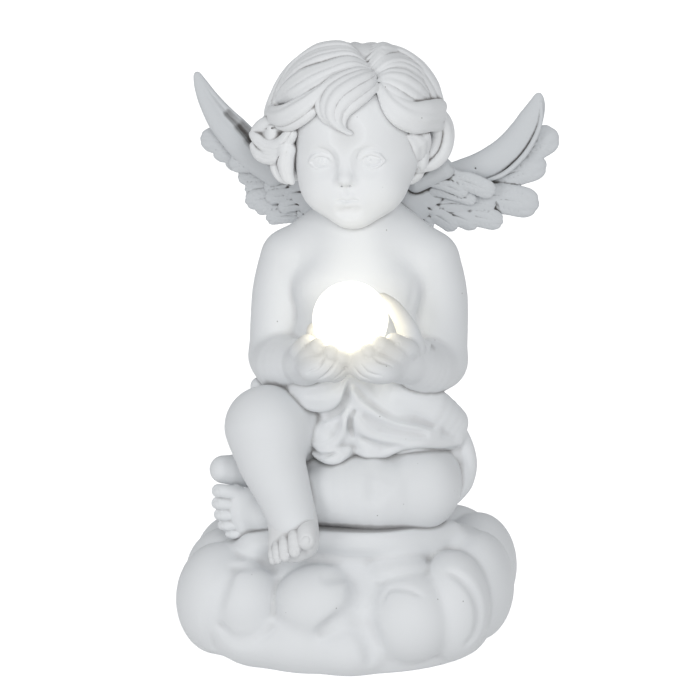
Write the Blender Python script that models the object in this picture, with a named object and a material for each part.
"""Winged child seated on a cloud, cast in one, holding a separate round globe in cupped hands.

Metres, +Z up, front towards -Y. The figure is laid out in shares: one share is a hundredth
of the height from the seat plane to the crown. The cloud is laid out in shares of its own
half width, half depth and height.
"""
import math

import bmesh
import bpy
from mathutils import Euler, Matrix, Vector

# Driving sizes in metres
FIGURE_HEIGHT = 0.200    # seat plane to crown
SEAT_HEIGHT = 0.050      # underside to seat plane
CLOUD_WIDTH = 0.137      # across the cloud, left to right
CLOUD_DEPTH = 0.120      # across the cloud, front to back
GLOBE_DIAMETER = 0.030   # the ball held in the hands
GLOBE_GAP = 0.0003       # clearance between ball and hands
FIGURE_SHIFT = 0.005     # middle of the figure, right of the middle of the cloud

# How the lumps are fused into one skin
GRID_STEP = 0.0014
SMOOTH_PASSES = 3
SKIN_TRIANGLES = 8600
BALL_SEGMENTS = 24
BALL_RINGS = 16
RING_SIDES = 12
STEPS_PER_SPAN = 4

SHARE = FIGURE_HEIGHT / 100
GLOBE_SHARES = GLOBE_DIAMETER / 2 / SHARE
GLOBE_LOW = Vector((0.9, -23.0, 40.8))   # lowest point of the ball, in shares
GLOBE_CENTRE = GLOBE_LOW + Vector((0, 0, GLOBE_SHARES))

# Hair shell, in shares: middle and half sizes
HEAD_CENTRE = Vector((-1.0, 2.5, 84.6))
HEAD_RADII = Vector((15.0, 16.0, 14.3))
FACE_TURN = Euler((math.radians(2), math.radians(-3), math.radians(-5)))


def wipe_scene() -> None:
    """Remove every object that the scene starts with."""
    for item in list(bpy.data.objects):
        bpy.data.objects.remove(item, do_unlink=True)


def curve_through(points, values):
    """Smooth run of stations through points, with one value carried along."""
    run = []
    last = len(points) - 1
    for i in range(last):
        before = points[max(i - 1, 0)]
        after = points[min(i + 2, last)]
        for step in range(STEPS_PER_SPAN):
            t = step / STEPS_PER_SPAN
            pull_a = (points[i + 1] - before) / 2
            pull_b = (after - points[i]) / 2
            place = (points[i] * (2 * t**3 - 3 * t**2 + 1) + pull_a * (t**3 - 2 * t**2 + t)
                     + points[i + 1] * (3 * t**2 - 2 * t**3) + pull_b * (t**3 - t**2))
            run.append((place, values[i] * (1 - t) + values[i + 1] * t))
    run.append((points[last], values[last]))
    return run


class Clay:
    """Overlapping closed lumps, kept in metres, that one grid fuses into one skin."""

    def __init__(self, origin, scale):
        self.mesh = bmesh.new()
        self.origin = Vector(origin)
        self.scale = Vector(scale)

    def place(self, point):
        """Point given in shares, in metres."""
        return self.origin + Vector(a * b for a, b in zip(point, self.scale))

    def keep(self, lump):
        """Add one finished lump to the rest."""
        sheet = bpy.data.meshes.new("lump")
        lump.to_mesh(sheet)
        lump.free()
        self.mesh.from_mesh(sheet)
        bpy.data.meshes.remove(sheet)

    def lobe(self, centre, radii, turn=(0, 0, 0)):
        """Ellipsoid with half sizes in shares, turned by degrees."""
        lump = bmesh.new()
        spin = Euler([math.radians(a) for a in turn]).to_matrix().to_4x4()
        size = Matrix.Diagonal(Vector([a * b for a, b in zip(radii, self.scale)])).to_4x4()
        matrix = Matrix.Translation(self.place(centre)) @ spin @ size
        bmesh.ops.create_icosphere(lump, subdivisions=3, radius=1.0, matrix=matrix)
        self.keep(lump)

    def stroke(self, points, radii, flat=1.0, flat_axis=(0, 1, 0)):
        """Round-ended rod through points, squashed by flat along flat_axis."""
        share = self.scale.x
        run = curve_through([self.place(p) for p in points], [r * share for r in radii])
        ahead = (run[1][0] - run[0][0]).normalized()
        behind = (run[-1][0] - run[-2][0]).normalized()
        stations = []
        for angle in (80, 55, 28):
            lean = math.radians(angle)
            stations.append((run[0][0] - ahead * run[0][1] * math.sin(lean),
                             run[0][1] * math.cos(lean)))
        stations += run
        for angle in (28, 55, 80):
            lean = math.radians(angle)
            stations.append((run[-1][0] + behind * run[-1][1] * math.sin(lean),
                             run[-1][1] * math.cos(lean)))
        lump = bmesh.new()
        thin = Vector(flat_axis).normalized()
        rings = []
        for i, (place, radius) in enumerate(stations):
            along = stations[min(i + 1, len(stations) - 1)][0] - stations[max(i - 1, 0)][0]
            along.normalize()
            across = along.cross(thin)
            if across.length < 0.05:
                across = along.cross(Vector((0.3, 0.2, 1)))
            across.normalize()
            normal = across.cross(along)
            frame = Matrix((across * radius, normal * radius * flat, along)).transposed()
            matrix = Matrix.Translation(place) @ frame.to_4x4()
            end = i in (0, len(stations) - 1)
            made = bmesh.ops.create_circle(lump, cap_ends=end, segments=RING_SIDES, radius=1.0,
                                           matrix=matrix)
            rings.append(made["verts"])
        for a, b in zip(rings, rings[1:]):
            hoop_a = {e for v in a for e in v.link_edges if e.other_vert(v) in a}
            hoop_b = {e for v in b for e in v.link_edges if e.other_vert(v) in b}
            bmesh.ops.bridge_loops(lump, edges=list(hoop_a | hoop_b))
        bmesh.ops.recalc_face_normals(lump, faces=lump.faces)
        self.keep(lump)


def cloud(clay):
    """Low mound of rounded puffs; x, y and z in hundredths of half width, half depth, height."""
    clay.lobe((0, 0, 38), (93, 92, 52))
    clay.lobe((0, 3, 56), (88, 86, 42))
    clay.lobe((0, 4, 74), (74, 70, 27))
    clay.lobe((0, 0, 14), (86, 88, 40))
    front = (
        ((-72, -30, 50), (27, 36, 42)), ((-53, -66, 50), (22, 27, 37)),
        ((-5, -76, 58), (24, 22, 34)), ((9, -80, 26), (26, 18, 30)),
        ((46, -72, 48), (24, 26, 37)), ((68, -52, 56), (22, 30, 42)),
        ((78, -18, 58), (21, 34, 42)), ((40, -60, 84), (22, 24, 17)),
        ((60, -6, 88), (24, 28, 20)), ((80, 26, 62), (19, 36, 42)),
        ((-80, 26, 62), (19, 34, 42)), ((-66, 10, 80), (24, 30, 20)),
    )
    for centre, radii in front:
        clay.lobe(centre, radii)
    for x, y, rise in ((-62, 62, 26), (-22, 82, 30), (22, 82, 28), (62, 64, 26)):
        clay.lobe((x * 0.94, y * 0.92, 56), (32, 28, 42))
        clay.lobe((x * 0.86, y * 0.84, rise), (32, 28, 30))


def torso(clay):
    """Chest, belly, hips and neck."""
    clay.lobe((0, 1.5, 50.5), (13.5, 9.5, 13))
    clay.lobe((0, 2.5, 58), (14.5, 7.0, 6.5))
    clay.lobe((0, -1.5, 39), (14.5, 11.0, 10.5))
    clay.lobe((0, 1.0, 25), (15, 13, 13))
    clay.lobe((0, 4.0, 14), (17, 15, 14))
    clay.lobe((0, 6.0, 46), (14, 8, 16))
    clay.lobe((0, 5.5, 61), (9, 7, 7))
    clay.stroke([(-0.5, 2.5, 57), (-0.5, 0.5, 66), (-0.4, -0.5, 71)], [8.5, 7.2, 7.5])
    for side in (-1, 1):
        clay.stroke([(side * 3, 3, 62), (side * 8.5, 3, 60), (side * 13.8, 2, 56)], [5, 5, 5.5])
        clay.lobe((side * 7.5, 13.5, 15), (9, 7, 9))


def arm(clay, side):
    """Upper arm, bent elbow and plump forearm to the wrist; side is -1 left, 1 right."""
    out = 16.4 if side < 0 else 16.0
    wrist = Vector((-8.6, -17.5, 37.6)) if side < 0 else Vector((10.6, -17.5, 38.4))
    clay.stroke([(side * (out - 1.6), 2, 55.6), (side * out, 1.5, 48),
                 (side * (out + 0.3), -1.5, 36)], [6.0, 6.1, 6.0])
    clay.stroke([(side * (out + 0.2), -1.5, 35.4), (side * (out - 1.6), -8, 35.4),
                 wrist + Vector((side * 1.6, 3.5, -0.6)), wrist], [6.1, 5.8, 4.6, 3.8])


def around_globe(azimuth, elevation, lift):
    """Point a distance off the globe; azimuth 0 faces the viewer, plus is to the right."""
    turn = math.radians(azimuth)
    rise = math.radians(elevation)
    reach = GLOBE_SHARES + lift
    return GLOBE_CENTRE + Vector((math.sin(turn) * math.cos(rise), -math.cos(turn) * math.cos(rise),
                                  math.sin(rise))) * reach


def hand(clay, side):
    """Palm under the globe, four fingers curling up round its front, thumb behind."""
    palm = around_globe(side * 72, -58, 2.6)
    clay.lobe(palm, (5.6, 5.8, 3.0), (0, side * 24, 0))
    wrist = Vector((-8.6, -17.5, 37.6)) if side < 0 else Vector((10.6, -17.5, 38.4))
    clay.stroke([wrist, palm + Vector((side * 1.4, 1.5, -0.4)), around_globe(side * 40, -62, 2.4)],
                [3.8, 3.6, 2.6])
    for tip_turn, tip_rise, root_turn, radius in (
            (62, -27, 86, 1.45), (36, -35, 64, 1.4), (20, -41, 46, 1.35), (7, -55, 34, 1.25)):
        root = around_globe(side * root_turn, -66, 2.2)
        middle = around_globe(side * (tip_turn + root_turn) / 2, (tip_rise - 66) / 2 - 3, 1.7)
        tip = around_globe(side * tip_turn, tip_rise, radius * 0.8)
        clay.stroke([root, middle, tip], [radius * 1.25, radius * 1.1, radius])
    clay.stroke([palm + Vector((side * 1.5, 3.0, 1.5)), around_globe(side * 118, -28, 1.6),
                 around_globe(side * 128, -2, 1.3)], [2.3, 1.9, 1.5])


def bent_leg(clay):
    """Leg on the viewer's left: knee raised, shin down to a foot that points forward."""
    clay.stroke([(-7, 1, 20), (-12.5, -8, 23), (-17.0, -15.5, 24.3)], [9.5, 8.6, 7.6])
    clay.stroke([(-17.4, -16.5, 24.0), (-15.8, -18.8, 18.5), (-12.6, -22.5, 12.5),
                 (-9.8, -26, 7.5)], [7.6, 6.9, 5.7, 4.5])
    clay.lobe((-9.4, -26.5, 4.6), (4.4, 5.0, 4.4))
    clay.lobe((-10.0, -29.2, 3.6), (4.6, 3.6, 3.2), (24, 12, 0))
    toes = ((-6.6, -31.4, 5.6, 1.75), (-9.0, -31.8, 3.9, 1.25), (-10.6, -31.6, 3.2, 1.15),
            (-12.1, -31.0, 2.5, 1.05), (-13.4, -30.2, 1.9, 0.95))
    for x, y, z, radius in toes:
        clay.stroke([(x + 0.2, y + 3.0, z + 0.6), (x, y, z)], [radius, radius])


def folded_leg(clay):
    """Leg on the viewer's right, lying flat, its foot coming out behind the other shin."""
    clay.stroke([(8, 4, 14), (12.5, -3, 11.5), (13.6, -8.5, 10.0)], [11, 9.4, 8.2])
    clay.stroke([(13.0, -8.0, 9.8), (5, -13.0, 9.8), (-4, -15.0, 8.6), (-13, -14.5, 6.5),
                 (-18, -14, 5.6)], [8.2, 8.0, 6.6, 4.6, 3.9])
    clay.lobe((-21.5, -13.5, 5.8), (4.6, 2.6, 5.2))
    for x, z, radius in ((-25.6, 10.4, 1.6), (-26.0, 8.0, 1.3), (-25.8, 5.8, 1.25),
                         (-25.2, 3.7, 1.2), (-24.3, 1.7, 1.05)):
        clay.stroke([(x + 4.0, -13.4, z * 0.9 + 0.6), (x, -14.4, z)], [radius * 1.1, radius])
    clay.stroke([(-17, -5, 11.5), (-26.2, -9, 13.0)], [4.2, 2.7])


def drapery(clay):
    """Cloth over the lap: gathered at the belly, swags between the legs, an end at the side."""
    clay.lobe((1.5, -5.5, 26), (13, 11.5, 8.5))
    clay.lobe((8.5, -7.0, 23.5), (10.5, 9.0, 6.8), (0, 12, 0))
    clay.lobe((-4.5, -11, 23), (7.5, 6.0, 6.6))
    clay.stroke([(0, -8, 36), (0, -12.4, 32.4)], [5.0, 4.4])
    clay.lobe((-5.5, -9.5, 30.0), (6.5, 6.5, 5.4))
    clay.stroke([(-8.6, -14.2, 31.2), (-6.2, -15.9, 28.9), (-2.8, -16.3, 29.4), (-0.4, -15.6, 33.8)],
                [1.5, 1.7, 1.5, 1.1])
    clay.stroke([(-10.0, -13.5, 26.4), (-8.4, -15.6, 22.4), (-4.6, -16.8, 20.8), (-1.2, -16.4, 25.0),
                 (-0.2, -15.8, 31)], [1.4, 1.7, 1.8, 1.4, 1.0])
    clay.stroke([(-8.8, -14.8, 19.6), (-4.6, -16.4, 17.6), (-0.4, -16.8, 18.8), (0.4, -16.4, 24)],
                [1.3, 1.6, 1.5, 1.1])
    clay.stroke([(0.4, -15.4, 34), (3.4, -15.6, 30), (8.4, -14.4, 26.6), (15.2, -9.6, 24.4)],
                [1.1, 1.6, 1.8, 1.5])
    clay.stroke([(2.0, -16.6, 27), (4.0, -16.6, 24.0), (9.2, -15.0, 22.2), (18.0, -8.0, 20.6)],
                [1.2, 1.6, 1.6, 1.4])
    clay.stroke([(0.8, -17.0, 19.2), (6.6, -16.4, 19.0), (11.0, -14.4, 20.2), (16.8, -9.6, 19.6)],
                [1.3, 1.4, 1.4, 1.3])
    clay.stroke([(11.0, -3.0, 31.0), (15.4, -3.0, 27), (19.0, -1.5, 22.4), (21.6, 0.5, 17),
                 (22.0, 1.5, 12), (20.8, 2, 7.5)], [3.4, 3.6, 3.4, 3.0, 2.8, 2.4])
    clay.stroke([(-10, -3, 29.5), (-17.5, -1.0, 28.5)], [4.0, 2.8])
    clay.stroke([(-14, 2, 27), (-15, 8, 20), (-14, 12, 10)], [5.0, 5.0, 5.0])
    clay.stroke([(13, 3, 28), (15.5, 8, 19), (14, 12, 9)], [5.0, 5.4, 5.4])
    clay.lobe((0, 11, 20), (13, 6, 12))
    clay.stroke([(5.6, -7.4, 51.4), (9.0, -7.6, 49.0), (10.4, -8.0, 45.0)], [1.1, 1.5, 1.5])


def face_point(x, y, z):
    """Place on the face, given from the middle of the head, turned with it."""
    middle = Vector((-0.4, 0.5, 80))
    return middle + FACE_TURN.to_matrix() @ Vector((x, y, z))


def head(clay):
    """Skull, cheeks, brow, nose, lips and chin of a calm child on plain proportions."""
    clay.lobe((-0.4, 1.5, 84.0), (13.8, 14.8, 13.2))
    clay.lobe(face_point(0, -4.6, -7.0), (11.4, 9.4, 9.8))
    clay.lobe(face_point(0, -7.6, 4.6), (9.6, 6.6, 6.6))
    clay.lobe(face_point(0, -10.6, -14.0), (3.4, 2.9, 2.8))
    for side in (-1, 1):
        clay.lobe(face_point(side * 5.8, -8.0, -8.4), (5.4, 4.8, 5.2))
        clay.lobe(face_point(side * 4.5, -12.0, -1.6), (2.2, 1.4, 1.2))
        clay.lobe(face_point(side * 13.0, 0.5, -3.0), (1.6, 2.2, 3.2))
        clay.stroke([face_point(side * 2.2, -13.0, 1.4), face_point(side * 5, -12.6, 2.3),
                     face_point(side * 7.8, -10.8, 1.3)], [0.9, 1.1, 0.9])
    clay.stroke([face_point(0, -12.7, 0.6), face_point(0, -13.9, -3.4)], [1.1, 1.35])
    clay.lobe(face_point(0, -14.2, -4.3), (1.9, 1.7, 1.3))
    clay.lobe(face_point(0, -12.6, -8.4), (2.6, 1.5, 0.95))
    clay.lobe(face_point(0, -12.3, -10.2), (2.0, 1.5, 0.95))


def on_hair(azimuth, elevation, lift=0.0):
    """Point on the hair shell; azimuth 0 faces the viewer, elevation 90 is the crown."""
    turn = math.radians(azimuth)
    rise = math.radians(elevation)
    reach = HEAD_RADII + Vector((lift, lift, lift))
    return HEAD_CENTRE + Vector((math.sin(turn) * math.cos(rise) * reach.x,
                                 -math.cos(turn) * math.cos(rise) * reach.y,
                                 math.sin(rise) * reach.z))


def lock_between(clay, path_a, path_b, count, radius):
    """Locks spread evenly between two guide paths of the same length."""
    for i in range(count):
        t = i / max(count - 1, 1)
        points = []
        for (az_a, el_a, up_a), (az_b, el_b, up_b) in zip(path_a, path_b):
            points.append(on_hair(az_a * (1 - t) + az_b * t, el_a * (1 - t) + el_b * t,
                                  up_a * (1 - t) + up_b * t))
        last = len(points) - 1
        radii = [radius * (0.62 + 0.38 * math.sin(math.pi * (k / last * 0.8 + 0.2)))
                 for k in range(len(points))]
        clay.stroke(points, radii)


def hair(clay):
    """Parted locks swept to both sides, a forelock, curls at the temples and round the back."""
    clay.lobe((-0.3, 4.6, 85.2), (14.6, 13.6, 13.2))
    lock_between(clay, ((14, 62, -0.6), (-30, 70, -0.4), (-72, 50, -0.2), (-84, 24, 0.2), (-80, 4, 0.6)),
                 ((16, 46, -0.6), (-16, 38, -0.2), (-46, 22, 0.6), (-66, 6, 1.0), (-80, 0, 0.6)), 5, 2.1)
    lock_between(clay, ((19, 42, -0.6), (-8, 34, 0.2), (-32, 18, 0.6), (-52, 3, 0.6), (-72, 0, 0.4)),
                 ((20, 40, -0.6), (-2, 30, 0.2), (-20, 20, 0.2), (-36, 8, 0.2), (-56, 0, 0.2)), 2, 1.5)
    lock_between(clay, ((20, 42, -0.6), (0, 30, 0.3), (-12, 16, 0.4), (-11, 4, 0.2), (-3, -3, -0.2)),
                 ((20, 36, -0.8), (6, 24, 0.2), (-4, 14, 0.2), (-6, 6, 0.0), (-3, 0, -0.4)), 3, 1.15)
    lock_between(clay, ((20, 60, -0.6), (54, 62, -0.4), (84, 44, 0.0), (92, 24, 0.6)),
                 ((24, 36, -0.6), (36, 26, 0.2), (58, 18, 0.6), (82, 12, 0.8)), 5, 2.0)
    lock_between(clay, ((24, 30, -0.6), (32, 16, 0.2), (52, 8, 0.6), (80, 4, 0.8), (98, -6, 0.4)),
                 ((27, 20, -0.8), (38, 4, 0.2), (56, -3, 0.6), (80, -8, 0.8), (98, -18, 0.4)), 2, 1.7)
    clay.stroke([on_hair(66, 0, 0.4), on_hair(84, -14, 1.0), on_hair(84, -32, 1.4),
                 on_hair(74, -44, 1.6), on_hair(64, -52, 0.8)], [2.2, 2.6, 2.4, 2.0, 1.3])
    clay.stroke([on_hair(-66, -4, 0.2), on_hair(-80, -12, 3.4), on_hair(-92, -8, 4.4)],
                [2.2, 2.8, 2.6])
    clay.stroke([on_hair(-70, -12, 0.0), on_hair(-74, -30, 1.0), on_hair(-66, -46, 0.6),
                 on_hair(-60, -54, -0.6)], [2.6, 2.6, 2.0, 1.2])
    for i in range(11):
        azimuth = 104 + i * 15.2
        wave = 6 * math.sin(i * 1.9)
        clay.stroke([on_hair(azimuth, 70, -0.8), on_hair(azimuth + wave, 40, 0.0),
                     on_hair(azimuth - wave, 8, 0.4), on_hair(azimuth + wave, -22, 0.2),
                     on_hair(azimuth - wave, -44 + wave, -0.8)], [1.6, 2.2, 2.4, 2.3, 1.5])


def wing(clay, side):
    """Scythe-shaped leading edge over rows of rounded feathers, rooted behind the shoulder."""
    left = side < 0
    blade = ([(-9, 9.5, 67), (-17.5, 12.0, 72.5), (-25.4, 14.0, 76.6), (-31.4, 15.4, 81.4),
              (-34.7, 16.0, 86.2), (-36.3, 16.3, 90.4)]
             if left else
             [(8, 9.5, 66), (16.5, 11.6, 69.6), (24.2, 13.4, 73.0), (29.0, 14.6, 76.2),
              (32.8, 15.4, 80.8), (34.9, 16.1, 87.0)])
    clay.stroke(blade, [4.0, 3.6, 3.2, 3.0, 2.2, 0.9], flat=0.5)
    tips = ([(-35.2, 17.2, 78.2), (-32.4, 17.0, 74.4), (-29.6, 16.8, 71.6), (-27.0, 16.4, 68.6),
             (-25.4, 16.0, 65.2), (-22.8, 15.4, 62.2), (-19.4, 14.8, 60.8), (-15.4, 14.0, 61.2)]
            if left else
            [(38.0, 17.2, 79.2), (36.4, 17.0, 75.0), (31.4, 16.8, 70.6), (34.4, 16.4, 66.4),
             (33.2, 16.0, 63.2), (27.8, 15.4, 62.4), (23.4, 14.8, 60.8), (18.4, 14.0, 61.0)])
    root = Vector((side * 9, 10.2, 67))
    for i, tip in enumerate(tips):
        tip = Vector(tip)
        start = root + Vector((0, 0, -0.9 * i + 2))
        middle = start.lerp(tip, 0.62) + Vector((0, -0.3, 0.6))
        clay.stroke([start, middle, tip], [2.4, 2.2, 1.8], flat=0.55)
    for i in range(4):
        reach = 0.62 - 0.07 * i
        tip = root.lerp(Vector(tips[1 + 2 * i if i < 3 else 7]), reach) + Vector((0, -2.0, 0.4))
        clay.stroke([root + Vector((0, -1.0, 1 - i)), tip], [2.3, 1.8], flat=0.6)
    clay.stroke([(side * 3.5, 8, 58), (side * 7.5, 10, 64), (side * 13, 11, 68)], [4.2, 4.6, 3.6],
                flat=0.7)
    if not left:
        clay.stroke([(11, 8.6, 71), (16.6, 9.6, 72.4)], [2.6, 2.7], flat=0.7)


def round_ball(name, radius, centre):
    """Ball mesh object whose facets match those of every other ball made here."""
    sheet = bpy.data.meshes.new(name)
    ball = bmesh.new()
    bmesh.ops.create_uvsphere(ball, u_segments=BALL_SEGMENTS, v_segments=BALL_RINGS, radius=radius,
                              matrix=Matrix.Translation(centre))
    bmesh.ops.triangulate(ball, faces=ball.faces)
    ball.to_mesh(sheet)
    ball.free()
    for face in sheet.polygons:
        face.use_smooth = True
    item = bpy.data.objects.new(name, sheet)
    bpy.context.scene.collection.objects.link(item)
    return item


def paint(item, name, colour, roughness, metallic=0.0):
    """Give an object its own plain surface."""
    material = bpy.data.materials.new(name)
    material.use_nodes = True
    shader = material.node_tree.nodes["Principled BSDF"]
    shader.inputs["Base Color"].default_value = (*colour, 1)
    shader.inputs["Roughness"].default_value = roughness
    shader.inputs["Metallic"].default_value = metallic
    item.data.materials.append(material)


def as_cutter(item):
    """Keep an object out of the result and use it only to cut."""
    item.hide_render = True
    item.display_type = "WIRE"


def cut(item, tool, name):
    """Subtract one object from another."""
    step = item.modifiers.new(name, "BOOLEAN")
    step.operation = "DIFFERENCE"
    step.solver = "EXACT"
    step.object = tool


def fused_casting():
    """All the lumps joined, fused on one grid, softened and thinned to a light skin."""
    half = Vector((CLOUD_WIDTH / 200, CLOUD_DEPTH / 200, SEAT_HEIGHT / 100))
    mound = Clay((0, 0, 0), half)
    cloud(mound)
    figure = Clay((FIGURE_SHIFT, 0, SEAT_HEIGHT), (SHARE, SHARE, SHARE))
    torso(figure)
    for side in (-1, 1):
        arm(figure, side)
        hand(figure, side)
        wing(figure, side)
    bent_leg(figure)
    folded_leg(figure)
    drapery(figure)
    head(figure)
    hair(figure)
    sheet = bpy.data.meshes.new("cherub_on_cloud")
    mound.mesh.to_mesh(sheet)
    figure.mesh.from_mesh(sheet)
    figure.mesh.to_mesh(sheet)
    item = bpy.data.objects.new("cherub_on_cloud", sheet)
    bpy.context.scene.collection.objects.link(item)
    skin = item.modifiers.new("fuse", "REMESH")
    skin.mode = "VOXEL"
    skin.voxel_size = GRID_STEP
    soft = item.modifiers.new("soften", "SMOOTH")
    soft.factor = 0.5
    soft.iterations = SMOOTH_PASSES
    dense = len(evaluated(item).polygons) * 2
    thin = item.modifiers.new("thin", "DECIMATE")
    thin.ratio = min(1.0, SKIN_TRIANGLES / dense)
    thin.use_collapse_triangulate = True
    return item


def evaluated(item):
    """Mesh of an object with its modifiers applied."""
    graph = bpy.context.evaluated_depsgraph_get()
    return item.evaluated_get(graph).to_mesh()


def centre_on_origin(items, casting):
    """Slide the objects sideways until the casting's box is centred on the origin."""
    points = [v.co for v in evaluated(casting).vertices]
    middle = Vector(((min(p.x for p in points) + max(p.x for p in points)) / 2,
                     (min(p.y for p in points) + max(p.y for p in points)) / 2, 0))
    for item in items:
        item.data.transform(Matrix.Translation(-middle))


def main():
    """Build the casting and the globe, and seat one in the other."""
    wipe_scene()
    casting = fused_casting()
    middle = Vector((FIGURE_SHIFT, 0, SEAT_HEIGHT)) + GLOBE_CENTRE * SHARE
    globe = round_ball("light_globe", GLOBE_DIAMETER / 2, middle)
    pocket = round_ball("pocket_cutter", GLOBE_DIAMETER / 2 + GLOBE_GAP, middle)
    as_cutter(pocket)
    centre_on_origin((casting, globe, pocket), casting)
    sheet = bpy.data.meshes.new("floor_cutter")
    block = bmesh.new()
    bmesh.ops.create_cube(block, size=1.0, matrix=Matrix.Translation((0, 0, -0.5)))
    block.to_mesh(sheet)
    block.free()
    floor = bpy.data.objects.new("floor_cutter", sheet)
    bpy.context.scene.collection.objects.link(floor)
    as_cutter(floor)
    cut(casting, floor, "flat underside")
    cut(casting, pocket, "seat for the globe")
    flat = casting.modifiers.new("triangles", "TRIANGULATE")
    flat.min_vertices = 4
    paint(casting, "cast_white", (0.78, 0.80, 0.83), 0.62)
    paint(globe, "frosted_globe", (0.95, 0.95, 0.92), 0.45)


main()
